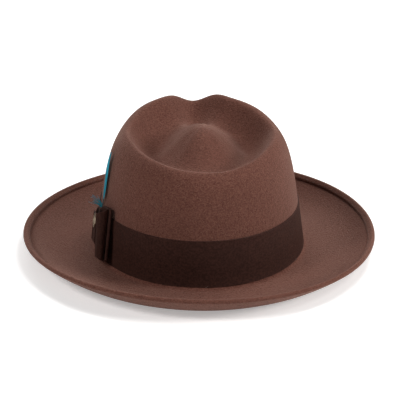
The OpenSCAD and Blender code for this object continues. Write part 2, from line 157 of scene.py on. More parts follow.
def wall_beside(a, z, off):
    """A point off the crown's wall at the angle a and height z."""
    a, z, off = np.broadcast_arrays(*(np.asarray(k, float) for k in (a, z, off)))
    v = (z - WALL_Z) / (crest_point(a)[..., 2] - WALL_Z)
    p = wall_point(a, v)
    n = unit(stack(np.cos(a) / FOOT_X, np.sin(a) / FOOT_Y, 0 * a))
    return stack(p[..., 0] + n[..., 0] * off, p[..., 1] + n[..., 1] * off, z)


# ---- mesh helpers ----
def grid_faces(rows, cols, wrap_rows=False, wrap_cols=False):
    i = np.arange(rows if wrap_rows else rows - 1)[:, None]
    j = np.arange(cols if wrap_cols else cols - 1)[None, :]
    i2, j2 = (i + 1) % rows, (j + 1) % cols
    quads = np.stack([i * cols + j, i * cols + j2, i2 * cols + j2, i2 * cols + j], axis=-1)
    return quads.reshape(-1, 4).tolist()


class Soup:
    """Collects the sheets and tubes of one piece, in millimetres."""

    def __init__(self):
        self.verts, self.faces, self.count = [], [], 0

    def add(self, points, faces):
        points = np.asarray(points, float).reshape(-1, 3)
        self.verts.append(points)
        self.faces += [[k + self.count for k in f] for f in faces]
        self.count += len(points)

    def grid(self, points, wrap_rows=False, wrap_cols=False, caps=False):
        rows, cols = points.shape[:2]
        faces = grid_faces(rows, cols, wrap_rows, wrap_cols)
        if caps:
            faces.append(list(range(cols)))
            faces.append([(rows - 1) * cols + k for k in reversed(range(cols))])
        self.add(points, faces)

    def tube(self, path, radius, sides=8):
        """A closed round tube along a path; radius is one number or one for each point."""
        path = np.asarray(path, float)
        radius = np.broadcast_to(np.asarray(radius, float), len(path))
        ahead = unit(np.gradient(path, axis=0))
        ref = np.array([0.0, 0.0, 1.0]) if abs(ahead[0][2]) < 0.8 else np.array([1.0, 0.0, 0.0])
        side = unit(np.cross(ahead, ref))
        up = np.cross(side, ahead)
        t = np.linspace(0, 2 * np.pi, sides, endpoint=False)[None, :, None]
        ring = path[:, None] + radius[:, None, None] * (
            side[:, None] * np.cos(t) + up[:, None] * np.sin(t))
        self.grid(ring, wrap_cols=True, caps=True)

    def build(self, name, body, material, node):
        """Makes the piece, which rides on its body and stands for its CAD node."""
        verts = np.vstack(self.verts) * MM
        mesh = bpy.data.meshes.new(name)
        mesh.from_pydata(verts.tolist(), [], self.faces)
        mesh.validate()
        obj = add_object(name, mesh)
        for poly in mesh.polygons:
            poly.use_smooth = True
        mesh.materials.append(material)
        fix_normals(mesh)
        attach(obj, body)
        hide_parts(node)


def add_object(name, data):
    obj = bpy.data.objects.new(name, data)
    bpy.context.scene.collection.objects.link(obj)
    return obj


def fix_normals(mesh):
    bm = bmesh.new()
    bm.from_mesh(mesh)
    bmesh.ops.recalc_face_normals(bm, faces=bm.faces)
    bm.to_mesh(mesh)
    bm.free()


# ---- procedural materials ----
class Nodes:
    """A material whose node graph is written as nested calls."""

    def __init__(self, name):
        self.mat = bpy.data.materials.new(name)
        self.mat.use_nodes = True
        self.tree = self.mat.node_tree
        self.bsdf = self.tree.nodes["Principled BSDF"]
        self.coords = self.tree.nodes.new("ShaderNodeTexCoord").outputs["Object"]

    def link(self, value, socket):
        if isinstance(value, bpy.types.NodeSocket):
            self.tree.links.new(value, socket)
        else:
            socket.default_value = value

    def scaled(self, scale):
        n = self.tree.nodes.new("ShaderNodeMapping")
        self.link(self.coords, n.inputs["Vector"])
        n.inputs["Scale"].default_value = scale
        return n.outputs["Vector"]

    def noise(self, scale, detail=3.0, rough=0.55, vector=None, distort=0.0):
        n = self.tree.nodes.new("ShaderNodeTexNoise")
        self.link(vector if vector is not None else self.coords, n.inputs["Vector"])
        n.inputs["Scale"].default_value = scale
        n.inputs["Detail"].default_value = detail
        n.inputs["Roughness"].default_value = rough
        n.inputs["Distortion"].default_value = distort
        return n.outputs["Fac"]

    def cell_edges(self, scale):
        n = self.tree.nodes.new("ShaderNodeTexVoronoi")
        n.feature = "DISTANCE_TO_EDGE"
        self.link(self.coords, n.inputs["Vector"])
        n.inputs["Scale"].default_value = scale
        return n.outputs["Distance"]

    def ramp(self, value, low, high, out_low=0.0, out_high=1.0):
        n = self.tree.nodes.new("ShaderNodeMapRange")
        self.link(value, n.inputs["Value"])
        for key, number in (("From Min", low), ("From Max", high),
                            ("To Min", out_low), ("To Max", out_high)):
            n.inputs[key].default_value = number
        return n.outputs["Result"]

    def math(self, op, a, b=0.0):
        n = self.tree.nodes.new("ShaderNodeMath")
        n.operation = op
        self.link(a, n.inputs[0])
        self.link(b, n.inputs[1])
        return n.outputs[0]

    def mix(self, fac, a, b):
        n = self.tree.nodes.new("ShaderNodeMix")
        n.data_type = "RGBA"
        self.link(fac, n.inputs[0])
        for value, socket in ((a, n.inputs[6]), (b, n.inputs[7])):
            self.link(value if isinstance(value, bpy.types.NodeSocket) else (*value, 1.0), socket)
        return n.outputs[2]

    def bump(self, height, strength, distance):
        """Adds a bump on top of the ones that are there."""
        n = self.tree.nodes.new("ShaderNodeBump")
        n.inputs["Strength"].default_value = strength
        n.inputs["Distance"].default_value = distance
        self.link(height, n.inputs["Height"])
        if self.bsdf.inputs["Normal"].is_linked:
            self.link(self.bsdf.inputs["Normal"].links[0].from_socket, n.inputs["Normal"])
        self.link(n.outputs["Normal"], self.bsdf.inputs["Normal"])

    def finish(self, color, rough, sheen=0.0, sheen_tint=(1, 1, 1), sheen_rough=0.5, **other):
        self.link(color if isinstance(color, bpy.types.NodeSocket) else (*color, 1.0),
                  self.bsdf.inputs["Base Color"])
        self.link(rough, self.bsdf.inputs["Roughness"])
        self.bsdf.inputs["Sheen Weight"].default_value = sheen
        self.bsdf.inputs["Sheen Tint"].default_value = (*sheen_tint, 1.0)
        self.bsdf.inputs["Sheen Roughness"].default_value = sheen_rough
        for key, value in other.items():
            self.link(value, self.bsdf.inputs[key.replace("_", " ")])
        return self.mat


def felt_material():
    m = Nodes("felt")
    dark, mid, light = (0.034, 0.0115, 0.0078), (0.110, 0.0410, 0.0290), (0.205, 0.092, 0.069)
    broad = m.ramp(m.noise(26, 3, 0.6), 0.3, 0.7)
    mottle = m.ramp(m.noise(480, 2, 0.6), 0.36, 0.64)
    grain = m.ramp(m.noise(950, 2, 0.6), 0.40, 0.60)
    nap = m.ramp(m.noise(1.0, 2, 0.6, m.scaled((650, 650, 1200)), 0.6), 0.38, 0.64)
    fleck = m.ramp(m.noise(1300, 2, 0.7), 0.58, 0.70)
    color = m.mix(m.math("MULTIPLY", broad, 0.22), mid, dark)
    color = m.mix(m.math("MULTIPLY", mottle, 0.20), color, light)
    color = m.mix(m.math("MULTIPLY", grain, 0.52), color, dark)
    color = m.mix(m.math("MULTIPLY", nap, 0.34), color, light)
    color = m.mix(m.math("MULTIPLY", fleck, 0.45), color, (0.26, 0.135, 0.105))
    m.bump(m.noise(780, 2, 0.6), 0.75, 0.0008)
    m.bump(m.noise(1.0, 3, 0.7, m.scaled((900, 900, 2600)), 0.8), 0.35, 0.0003)
    m.bump(m.noise(60, 2, 0.5), 0.14, 0.0015)
    return m.finish(color, 0.95, 0.24, (1.0, 0.68, 0.57), 0.45, Specular_IOR_Level=0.08)


def ribbon_material(name, direction_scale):
    m = Nodes(name)
    base, lift = (0.0210, 0.0070, 0.0048), (0.062, 0.0240, 0.0170)
    thread = m.noise(1.0, 2, 0.6, m.scaled(direction_scale), 0.2)
    broad = m.ramp(m.noise(35, 3, 0.6), 0.3, 0.7)
    grain = m.ramp(m.noise(620, 2, 0.6), 0.40, 0.62)
    color = m.mix(m.math("MULTIPLY", m.ramp(thread, 0.35, 0.7), 0.40), base, lift)
    color = m.mix(m.math("MULTIPLY", grain, 0.50), color, lift)
    color = m.mix(m.math("MULTIPLY", broad, 0.22), color, (0.015, 0.0062, 0.005))
    m.bump(thread, 0.45, 0.00025)
    m.bump(m.noise(2600, 2, 0.6), 0.25, 0.0001)
    rough = m.ramp(thread, 0.3, 0.7, 0.62, 0.78)
    return m.finish(color, rough, 0.08, (0.9, 0.6, 0.5), 0.4, Specular_IOR_Level=0.10)


def thread_material(name, color, pale):
    m = Nodes(name)
    twist = m.noise(1.0, 2, 0.5, m.scaled((3000, 3000, 3000)), 1.5)
    m.bump(twist, 0.4, 0.0001)
    return m.finish(m.mix(m.ramp(twist, 0.3, 0.7), color, pale), 0.75, 0.15, (1, 0.85, 0.75))


def feather_material(name, bright, deep, weight):
    m = Nodes(name)
    streak = m.ramp(m.noise(1.0, 3, 0.6, m.scaled((900, 900, 260)), 0.4), 0.3, 0.7)
    broad = m.ramp(m.noise(70, 2, 0.5), 0.35, 0.65)
    color = m.mix(m.math("MULTIPLY", streak, weight), bright, deep)
    color = m.mix(m.math("MULTIPLY", broad, 0.35), color, (0.002, 0.045, 0.075))
    m.bump(streak, 0.5, 0.0002)
    return m.finish(color, 0.55, Specular_IOR_Level=0.08)


def metal_material():
    m = Nodes("pin_metal")
    grime = m.ramp(m.noise(260, 4, 0.7), 0.42, 0.66)
    scratch = m.noise(1.0, 3, 0.7, m.scaled((300, 2600, 2600)))
    color = m.mix(grime, (0.56, 0.46, 0.33), (0.20, 0.14, 0.085))
    m.bump(m.noise(1500, 3, 0.6), 0.25, 0.0001)
    m.bump(scratch, 0.12, 0.00005)
    return m.finish(color, m.ramp(grime, 0, 1, 0.30, 0.55), Metallic=0.95)


def leather_material():
    m = Nodes("leather")
    pores = m.cell_edges(900)
    broad = m.ramp(m.noise(45, 4, 0.6), 0.3, 0.7)
    color = m.mix(broad, (0.085, 0.040, 0.022), (0.125, 0.063, 0.036))
    color = m.mix(m.ramp(pores, 0.0, 0.08, 0.55, 0.0), color, (0.045, 0.02, 0.011))
    m.bump(m.ramp(pores, 0.0, 0.12), 0.35, 0.0002)
    m.bump(m.noise(380, 4, 0.6), 0.2, 0.0004)
    return m.finish(color, m.ramp(m.noise(120, 3, 0.6), 0.3, 0.7, 0.38, 0.56),
                    Specular_IOR_Level=0.45)


def satin_material():
    m = Nodes("lining")
    weave = m.noise(1.0, 2, 0.5, m.scaled((2600, 2600, 420)))
    broad = m.ramp(m.noise(30, 3, 0.6), 0.3, 0.7)
    color = m.mix(broad, (0.062, 0.028, 0.021), (0.084, 0.042, 0.031))
    color = m.mix(m.math("MULTIPLY", m.ramp(weave, 0.3, 0.7), 0.35), color, (0.12, 0.066, 0.05))
    m.bump(weave, 0.3, 0.00015)
    return m.finish(color, 0.36, 0.3, (1, 0.8, 0.7), 0.3, Specular_IOR_Level=0.55, Anisotropic=0.5)


def plain_material(name, color, other, scale, rough, bump=0.3):
    m = Nodes(name)
    grain = m.noise(scale, 3, 0.6)
    m.bump(grain, bump, 0.00015)
    return m.finish(m.mix(m.ramp(grain, 0.3, 0.7), color, other), rough, 0.1)


def clear_material():
    m = Nodes("clear_sheet")
    haze = m.ramp(m.noise(40, 3, 0.5), 0.35, 0.75, 0.08, 0.12)
    m.bump(m.noise(30, 2, 0.5), 0.2, 0.0012)
    return m.finish((0.86, 0.88, 0.9), 0.08, Alpha=haze, Specular_IOR_Level=0.7)


FELT = felt_material()
RIBBON = ribbon_material("ribbon", (260, 260, 2400))
KNOT_RIBBON = ribbon_material("ribbon_across", (2400, 2400, 260))
WELT_THREAD = thread_material("welt_thread", (0.05, 0.022, 0.016), (0.09, 0.045, 0.034))
METAL = metal_material()
LEATHER = leather_material()
SATIN = satin_material()


# ---- felt body ----
COLS = 288
SAMPLES = 110
FINE_ROWS = 640
SOFTEN_REACH = 30
EDGE_R, EDGE_MID = 1.95, -0.15
GROOVE_DEEP = 0.22
NEAR_EDGE = np.array([0, 0.12, 0.4, 0.8, 1.3, 1.95, 2.8, 3.8, 4.8, 5.5, 6.0, 6.25, 6.45, 6.6,
                      6.8, 7.1, 7.6, 8.4, 9.6, 11.0])


def felt_columns(cols):
    """For each angle, evenly spaced points of the skin from the edge to the dome's top."""
    a = circle(cols)[None, :]
    s = np.linspace(1, 0, SAMPLES)[:, None]
    v = (1 - np.cos(np.linspace(0, np.pi, SAMPLES + 60)))[1:-1, None] / 2
    w = np.linspace(0, 1, SAMPLES)[:, None]
    parts = [brim_point(a, s), wall_point(a + 0 * v, v + 0 * a), dent_point(a + 0 * w, w + 0 * a)]
    raw = np.concatenate(parts, axis=0)
    step = np.linalg.norm(np.diff(raw, axis=0), axis=-1)
    length = np.vstack([np.zeros(cols), np.cumsum(step, axis=0)])
    out = np.empty((FINE_ROWS, cols, 3))
    for j in range(cols):
        d = np.linspace(0, length[-1, j], FINE_ROWS)
        for k in range(3):
            out[:, j, k] = np.interp(d, length[:, j], raw[:, j, k])
    spacing = length[-1] / (FINE_ROWS - 1)
    return out, spacing


def soften(points, sigma):
    """Gaussian rounding along each column; sigma is in samples for each row."""
    reach = SOFTEN_REACH
    first, last = points[:1], points[-1:]
    padded = np.concatenate([2 * first - points[reach:0:-1], points,
                             2 * last - points[-2:-reach - 2:-1]], axis=0)
    total = np.zeros_like(points)
    weight = np.zeros((len(points), 1, 1))
    for k in range(-reach, reach + 1):
        g = np.exp(-0.5 * (k / sigma) ** 2)[:, None, None]
        total += g * padded[reach + k:reach + k + len(points)]
        weight += g
    return total / weight


def felt_surface():
    """The skin, rounded most at the crest and then over the dent and dome."""
    fine, spacing = felt_columns(COLS)
    f = np.linspace(0, 1, len(fine))
    sigma = 3.0 + 5.5 * np.exp(-((f - 0.72) / 0.07) ** 2) + 2.5 * smooth((f - 0.75) / 0.1)
    return soften(fine, sigma), spacing


def sample_columns(fine, spacing, distance):
    """Points at the distances (rows x cols, mm from the edge) along each column."""
    rows, cols = distance.shape
    out = np.empty((rows, cols, 3))
    for j in range(cols):
        x = distance[:, j] / spacing[j]
        for k in range(3):
            out[:, j, k] = np.interp(x, np.arange(len(fine)), fine[:, j, k])
    return out


def grid_normals(p):
    """Outward directions of the skin; the last row is the dome's top."""
    da = np.roll(p, -1, axis=1) - np.roll(p, 1, axis=1)
    dr = np.gradient(p, axis=0)
    n = unit(np.cross(da, dr))
    n[-1] = [0, 0, 1]
    return n


def hand_waviness(a, f):
    """Small unevenness that hand blocking leaves, in millimetres."""
    return (0.35 * np.sin(3 * a + 1.1) * np.sin(2.6 * f + 0.4)
            + 0.22 * np.sin(5 * a + 2.3 + 3 * f)
            + 0.12 * np.sin(9 * a - 4 * f) + 0.10 * np.sin(2 * a + 17 * f))


def build_felt():
    """One closed shell: the skin, its folded edge and groove, and the underside."""
    fine, spacing = felt_surface()
    a = circle(COLS)[None, :]
    total = spacing * (len(fine) - 1)
    share = np.linspace(0, 1, 150)[1:-1]
    # d is the distance in from the brim's edge
    d = np.vstack([np.tile(NEAR_EDGE[:, None], (1, COLS)),
                   12.5 + share[:, None] * (total[None, :] - 12.5 - 0.4)])
    skin = sample_columns(fine, spacing, d)
    normal = grid_normals(skin)
    f = d / total[None, :]
    r = EDGE_R
    fold = r * np.sqrt(np.clip(1 - ((r - np.minimum(d, r)) / r) ** 2, 0, 1))
    body = np.where(d < r, EDGE_MID + fold, 1.8 - 0.55 * smooth((d - r) / (WELT_W - r)))
    drop = smooth((d - (WELT_W - 1.0)) / 1.2)
    upper = np.where(d < WELT_W + 0.2, lerp(body, -GROOVE_DEEP, drop),
                     -GROOVE_DEEP * (1 - smooth((d - WELT_W - 0.2) / 1.6)))
    calm = smooth((d - 8) / 20) * (1 - smooth((f - 0.9) / 0.1))
    waves = hand_waviness(a, f) * calm
    top = skin + normal * (upper + waves)[..., None]
    lower = np.where(d < r, EDGE_MID - fold, -FELT_T)
    under = skin + normal * (lower + waves)[..., None]
    under[..., 2] = np.maximum(under[..., 2], 0.02)
    points = np.concatenate([top[::-1], under[1:]], axis=0)
    rows = len(points)
    faces = grid_faces(rows, COLS, wrap_cols=True)
    apex, low_apex = rows * COLS, rows * COLS + 1
    for j in range(COLS):
        j2 = (j + 1) % COLS
        faces.append([apex, j, j2])
        faces.append([low_apex, (rows - 1) * COLS + j2, (rows - 1) * COLS + j])
    soup = Soup()
    soup.add(np.vstack([points.reshape(-1, 3), top[-1].mean(0), under[-1].mean(0)]), faces)
    soup.build("felt_hat_body", "hat", FELT, "felt_body")
    return fine, spacing


FINE, SPACING = build_felt()


# ---- rings around the crown: band, sweatband, lining, cords ----
def ring_grid(a, section):
    """Grid (sections x angles) of points; section lists (offset, height) arrays or numbers."""
    return np.stack([wall_beside(a, z, off) for off, z in section])


def build_ring(a, section, name, material, node):
    """A closed ring round the crown, as one piece on the hat."""
    soup = Soup()
    soup.grid(ring_grid(a, section), wrap_rows=True, wrap_cols=True)
    soup.build(name, "hat", material, node)


BAND_RIBS, PER_RIB = 560, 4


def build_band():
    """Ribbed ribbon with corded selvedges, set tight around the crown."""
    cols = BAND_RIBS * PER_RIB
    a = circle(cols)
    rib = 0.09 * np.cos(2 * np.pi * np.arange(cols) / PER_RIB)
    slack = 0.10 * np.sin(4 * a + 0.7) + 0.06 * np.sin(9 * a)
    wob = 0.18 * np.sin(3 * a + 1.0) + 0.10 * np.sin(7 * a + 0.2)
    section = []
    for h in (0, 0.25, 0.6, 1.0, 1.5, 6, 12, 19, 26, 32, 36.5, 37.0, 37.4, 37.75, 38.0):
        edge = min(h, BAND_H - h)
        cord = 0.16 * math.exp(-((edge - 0.55) / 0.4) ** 2)
        rounded = -0.28 * (1 - min(1, edge / 0.5)) ** 2
        body = BAND_OUT - 0.12 + cord + rounded + rib * (1 if edge > 1.2 else 0.35) + slack * 0.5
        section.append((body, BAND_Z + 0.05 + h + wob * (h / BAND_H)))
    for h in (38.0, 30, 20, 10, 0):
        section.append((BAND_GAP + 0 * a, BAND_Z + 0.05 + h + wob * (h / BAND_H)))
    build_ring(a, section, "ribbon_band_cloth", RIBBON, "ribbon_band")


def stitch_path(p, q, lift, out, segs=6):
    """A thread that comes up at p, lies along the surface and goes down at q."""
    t = np.linspace(0, 1, segs + 1)[:, None]
    arch = lift * (np.sin(np.pi * t) ** 0.5 - 0.55)
    return p + (q - p) * t + out * arch


def build_tacks():
    """Six short stitches that hold the band's lower edge."""
    soup = Soup()
    for i in range(6):
        a = math.radians(30 + 60 * i)
        p = wall_beside(a - 0.011, BAND_Z + 0.55, BAND_OUT + 0.25)
        q = wall_beside(a + 0.011, BAND_Z + 1.6, BAND_OUT + 0.25)
        out = unit(wall_beside(a, BAND_Z + 1, 5) - wall_beside(a, BAND_Z + 1, 0))
        soup.tube(stitch_path(p, q, 0.3, out), 0.17, 6)
    soup.build("band_tack_threads", "hat", WELT_THREAD, "ribbon_tacks")


WELT_STITCHES = 120


def build_welt_stitching():
    """Short hand stitches sunk in the folded edge."""
    soup = Soup()
    wrapped = np.concatenate([FINE, FINE[:, :1]], axis=1)
    spacing = np.append(SPACING, SPACING[0])
    row_d = WELT_W - 1.5

    def at(angle, d):
        """The skin's point at an angle, d in from the brim's edge."""
        j = (angle / (2 * np.pi) * COLS) % COLS
        j0 = int(j)
        k = j - j0
        col = wrapped[:, j0] * (1 - k) + wrapped[:, j0 + 1] * k
        x = d / (spacing[j0] * (1 - k) + spacing[j0 + 1] * k)
        return np.array([np.interp(x, np.arange(len(col)), col[:, m]) for m in range(3)])

    for i in range(WELT_STITCHES):
        a = 2 * np.pi * (i + 0.5) / WELT_STITCHES + rng.normal(0, 0.0010)
        c = at(a, row_d)
        along = unit(at(a + 0.01, row_d) - at(a - 0.01, row_d))
        out = unit(np.cross(along, at(a, row_d + 0.8) - at(a, row_d - 0.8)))
        out = out if out[2] > 0 else -out
        half = 1.55 + rng.normal(0, 0.08)
        base = c + out * 1.48
        soup.tube(stitch_path(base - along * half, base + along * half, 0.36, out), 0.15, 6)
    soup.build("welt_edge_threads", "hat", WELT_THREAD, "welt_stitching")


# ---- bow: two ribbon loops and a knot, in a frame given by the record's joints ----
joints = {j["name"]: j for j in frame["joints"]}
BOW_UP = np.array(joints["feather_slide"]["axis"], float)
BOW_OUT = np.array(joints["pin_spin"]["axis"], float)
BOW_REAR = np.cross(BOW_UP, BOW_OUT)
PIN_UP = 6.3
CLUTCH_LOW = 0.3
PIN_AT = np.array(joints["pin_spin"]["pos_m"], float) / MM
BOW_AT = PIN_AT - PIN_UP * BOW_UP
WALL_RADIUS = FOOT_Y * FOOT_Y / FOOT_X
REAR_LOBE, FRONT_LOBE, REAR_H, FRONT_H, BOW_WAIST = 33.0, 20.0, 43.0, 24.0, 22.0
RIBBON_T, PLY_GAP, LOOP_LOW = 0.4, 0.1, 2.2
BOW_OFF_WALL = math.tan(math.radians(5.5))
PINCHED = 2 * RIBBON_T + PLY_GAP


def in_bow(x, t, z):
    """x out from the band, t to the rear, z up the crown."""
    p = stack(x, t, z)
    return BOW_AT + p[..., :1] * BOW_OUT + p[..., 1:2] * BOW_REAR + p[..., 2:] * BOW_UP


def opened(t, length):
    """How far a lobe has opened: 0 beside the knot, 1 near its end."""
    return smooth((t - 7) / (length - 11))


def loop_faces(inner, t, length, full, h):
    """Inner and outer distance of one loop from the band; h is -1 to 1 up the ribbon."""
    o = opened(t, length)
    room = length * length / (2 * WALL_RADIUS) + (1 if full == 1 else -1) * length * BOW_OFF_WALL
    low = LOOP_LOW - o * (LOOP_LOW + room - lerp(1.2, 3.1, full))
    wide = 1 + 0.38 * h
    inner_high = low + PINCHED + 1.9 * full * o
    if inner:
        return low, inner_high
    outer_low = inner_high + PLY_GAP + 0.4 * full * o
    return outer_low, outer_low + PINCHED + 6.8 * full * o * wide


def lobe_height(t, high):
    """Half the ribbon's height, drawn in at the waist."""
    return lerp(BOW_WAIST / 2, high / 2, smooth((t - 5) / 12))


def lobe_path(inner, length, full, h):
    """Closed outline of one lobe from the knot round its end and back, as (x, t) for a height h."""
    r = (1.2 + full) if inner else (1.2 + 2.6 * full)
    t = length * np.sin(np.linspace(0, np.pi / 2, 61))
    low, high = loop_faces(inner, t, length, full, h)
    d = np.clip((t - (length - r)) / r, 0, 1)
    half = (high - low) / 2 * np.sqrt(1 - d * d)
    mid = (high + low) / 2
    x = np.concatenate([mid - half, (mid + half)[::-1][1:]])
    return x, np.concatenate([t, t[::-1][1:]])


RIB_PITCH = 1.0
LOOP_ROWS = (-1, -0.985, -0.96, -0.93, -0.8, -0.55, -0.25, 0,
             0.25, 0.55, 0.8, 0.93, 0.96, 0.985, 1.0)


def build_loop(inner, name, node):
    """One ribbon loop: a ribbed sheet with thickness that runs round both lobes."""
    soup = Soup()
    for length, high, full, side in ((REAR_LOBE, REAR_H, 1.0, 1), (FRONT_LOBE, FRONT_H, 0.05, -1)):
        middle = travelled(*lobe_path(inner, length, full, 0.0))
        n = int(round(middle[-1] / RIB_PITCH)) * PER_RIB
        share = np.linspace(0, 1, n)
        rib = 0.07 * np.cos(2 * np.pi * np.arange(n) / PER_RIB)
        outer_skin, inner_skin = [], []
        for h in LOOP_ROWS:
            x, t = lobe_path(inner, length, full, h)
            d = travelled(x, t)
            xs, ts = np.interp(share * d[-1], d, x), np.interp(share * d[-1], d, t)
            tx, tt = np.gradient(xs), np.gradient(ts)
            norm = np.hypot(tx, tt) + 1e-9
            nx, nt = -tt / norm, tx / norm
            gather = np.exp(-np.maximum(ts - 6.5, 0) / 6.0)
            crease = 0.30 * np.cos(5.2 * h * np.pi + 0.6) * gather * smooth((ts - 6.8) / 1.2)
            edge = 1 - abs(h)
            cord = 0.10 * math.exp(-((edge - 0.035) / 0.02) ** 2)
            cord -= 0.22 if edge < 0.012 else 0
            grow = rib * smooth(edge / 0.06) + cord
            z = h * lobe_height(ts, high) * (1 + 0.012 * np.sin(9 * share))
            slant = 0.42 * smooth(h) - 0.22 * smooth(-h)
            z = z - slant * full * np.maximum(0, xs + 1) * opened(ts, length)
            bulge = -np.abs(crease) - 0.12
            outer_skin.append(in_bow(xs + nx * (grow + bulge),
                                     side * (ts + nt * (grow + bulge)), z))
            inset = -RIBBON_T + 0.06
            inner_skin.append(in_bow(xs + nx * (inset + bulge + 0.1 * rib),
                                     side * (ts + nt * (inset + bulge)), z))
        both = np.stack(outer_skin + inner_skin[::-1])
        soup.grid(both, wrap_rows=True)
        for end in (0, n - 1):
            soup.add(both[:, end], [list(range(len(both)))])
    soup.build(name, "hat", RIBBON, node)


KNOT_BACK, KNOT_T, KNOT_HALF = 0.95, 0.45, 6.0
KNOT_FRONT = LOOP_LOW + 2 * PINCHED + 2 * PLY_GAP
KNOT_CORNER = 1.5
KNOT_ROWS = (-1, -0.985, -0.95, -0.9, -0.7, -0.5, -0.35, -0.2, 0,
             0.2, 0.35, 0.5, 0.7, 0.9, 0.95, 0.985, 1)


def build_knot():
    """Ribbon wrapped round the waist, with two soft pleats down its face."""
    top = BOW_WAIST / 2 + 1 + RIBBON_T
    x_low, x_high = KNOT_BACK + 0.02, KNOT_FRONT + KNOT_T
    r = KNOT_CORNER
    corners = [(x_high - r, top - r, 0), (x_low + r, top - r, 90), (x_low + r, -top + r, 180),
               (x_high - r, -top + r, 270)]
    path = []
    for cx, cz, start in corners:
        for t in np.radians(np.linspace(start, start + 90, 9)):
            path.append((cx + r * math.cos(t), cz + r * math.sin(t), math.cos(t), math.sin(t)))
    path = np.array(path)
    closed = np.vstack([path, path[:1]])
    d = travelled(closed[:, 0], closed[:, 1])
    n = int(round(d[-1] / RIB_PITCH)) * PER_RIB
    at = np.linspace(0, d[-1], n, endpoint=False)
    cx, cz, nx, nz = (np.interp(at, d, closed[:, k]) for k in range(4))
    rib = 0.06 * np.cos(2 * np.pi * np.arange(n) / PER_RIB)
    outer, inner = [], []
    for y in KNOT_ROWS:
        edge = 1 - abs(y)
        face = np.clip((cx - 3) / 2, 0, 1)
        pleat = -0.32 * (np.exp(-((y - 0.42) / 0.09) ** 2)
                         + np.exp(-((y + 0.38) / 0.09) ** 2)) * face
        narrow = 1 - 0.10 * np.cos(np.clip(cz / top, -1, 1) * np.pi / 2) * face
        grow = -0.03 + 0.5 * rib * smooth(edge / 0.08) - 0.2 * (1 - smooth(edge / 0.05)) + pleat
        outer.append(in_bow(cx + nx * grow, y * KNOT_HALF * narrow, cz + nz * grow))
        inner.append(in_bow(cx + nx * (-0.36 + 0.3 * pleat), y * KNOT_HALF * narrow,
                            cz + nz * -0.4))
    soup = Soup()
    soup.grid(np.stack(outer + inner[::-1]), wrap_rows=True, wrap_cols=True)
    soup.build("bow_knot_wrap", "hat", KNOT_RIBBON, "bow_knot")


# ---- feather ----
FEATHER_OFF, FEATHER_T = 0.72, 7.1
QUILL_LOW, BARB_Z, VANE_LOW, VANE_LEN = -11.0, 19.5, 25.0, 42.0
VANE_BARBS, DOWN_BARBS = 118, 26


def quill_at(z):
    """Middle of the quill at the height z in the bow's frame; it curls in towards the crown."""
    up = np.clip((z - 20) / 46, 0, 1)
    x = FEATHER_OFF - 0.5 * smooth(up / 0.3) + 0.5 * np.sin(np.pi * up) - 1.6 * up ** 2.2
    return x, FEATHER_T + 5.0 * up ** 1.8


def build_quill():
    """The shaft, thinner towards its tip and rounded at its foot."""
    soup = Soup()
    z = np.linspace(QUILL_LOW + 0.2, VANE_LOW + VANE_LEN - 1.5, 60)
    x, t = quill_at(z)
    radius = (0.55 * (1 - 0.82 * smooth((z - 12) / 56))
              * np.clip((z - QUILL_LOW) / 1.2, 0.25, 1) ** 0.5)
    soup.tube(in_bow(x, t, z), radius, 10)
    soup.build("feather_shaft", "feather", QUILL, "feather_quill")


def vane_width(u):
    """A vane's width at the share u of its length."""
    return 5.9 * np.sin(np.pi * np.clip(u, 0, 1) ** 0.72) ** 0.62


def build_vanes():
    """Each vane is a row of thin barbs that lie against each other, with a few splits."""
    soup = Soup()
    for side in (-1, 1):
        split = 0.0
        for i in range(VANE_BARBS):
            u = (i + 0.3) / VANE_BARBS
            z0 = VANE_LOW + VANE_LEN * (0.02 + 0.93 * u)
            if rng.random() < 0.06:
                split = rng.uniform(0.25, 0.7)
            split *= 0.6
            narrower = 0.93 if side > 0 else 1.0
            width = vane_width(0.06 + 0.94 * u) * (1 + rng.normal(0, 0.035)) * narrower
            rise = width * (0.62 + 0.55 * u) + split
            s = np.linspace(0, 1, 9)
            x0, t0 = quill_at(z0)
            reach = width * s ** 0.92
            z = z0 + rise * s ** 1.35
            cup = -0.25 * (reach / 6.0) ** 2
            half_z = 0.24 * (1 - 0.55 * s) + 0.03
            thick = 0.10 * (1 - 0.5 * s) + 0.02
            x = x0 + 0.05 + cup
            t = t0 + side * (0.12 + reach)
            ring = [in_bow(x + dx * thick, t, z + dz * half_z)
                    for dz, dx in ((-1, 0), (0, 1), (1, 0), (0, -1))]
            soup.grid(np.stack(ring, axis=1), wrap_cols=True, caps=True)
    soup.build("feather_vane_barbs", "feather", TEAL, "feather_vanes")


def build_barbs():
    """Loose downy barbs at the foot of the vanes."""
    soup = Soup()
    for _ in range(DOWN_BARBS):
        turn = math.radians(rng.uniform(-80, 12))
        tilt = math.radians(rng.uniform(4, 44))
        length = rng.uniform(5.5, 12.0)
        z0 = BARB_Z + rng.uniform(-1.6, 2.6)
        s = np.linspace(0, 1, 12)
        x0, t0 = quill_at(z0)
        droop = rng.uniform(-1.2, 2.2)
        out = length * s * math.cos(tilt)
        x = x0 + 0.35 + out * math.cos(turn)
        t = t0 + out * math.sin(turn) + rng.normal(0, 0.4) * s ** 2
        z = z0 + length * s * math.sin(tilt) - droop * s ** 2
        x = np.maximum(x, 0.5)
        path = in_bow(x, t, z)
        soup.tube(path, 0.15 * (1 - 0.72 * s) + 0.03, 5)
        for k in range(3, 11):
            fork = rng.uniform(-1, 1)
            tip = (path[k] + (path[k + 1] - path[k]) * 1.3 + BOW_REAR * 0.9 * fork
                   + BOW_UP * rng.uniform(0.1, 0.7))
            mid = (path[k] + tip) / 2 + BOW_UP * 0.08
            soup.tube(np.stack([path[k], mid, tip]), np.array([0.06, 0.045, 0.02]), 4)
    soup.build("feather_down", "feather", DOWN, "feather_barbs")


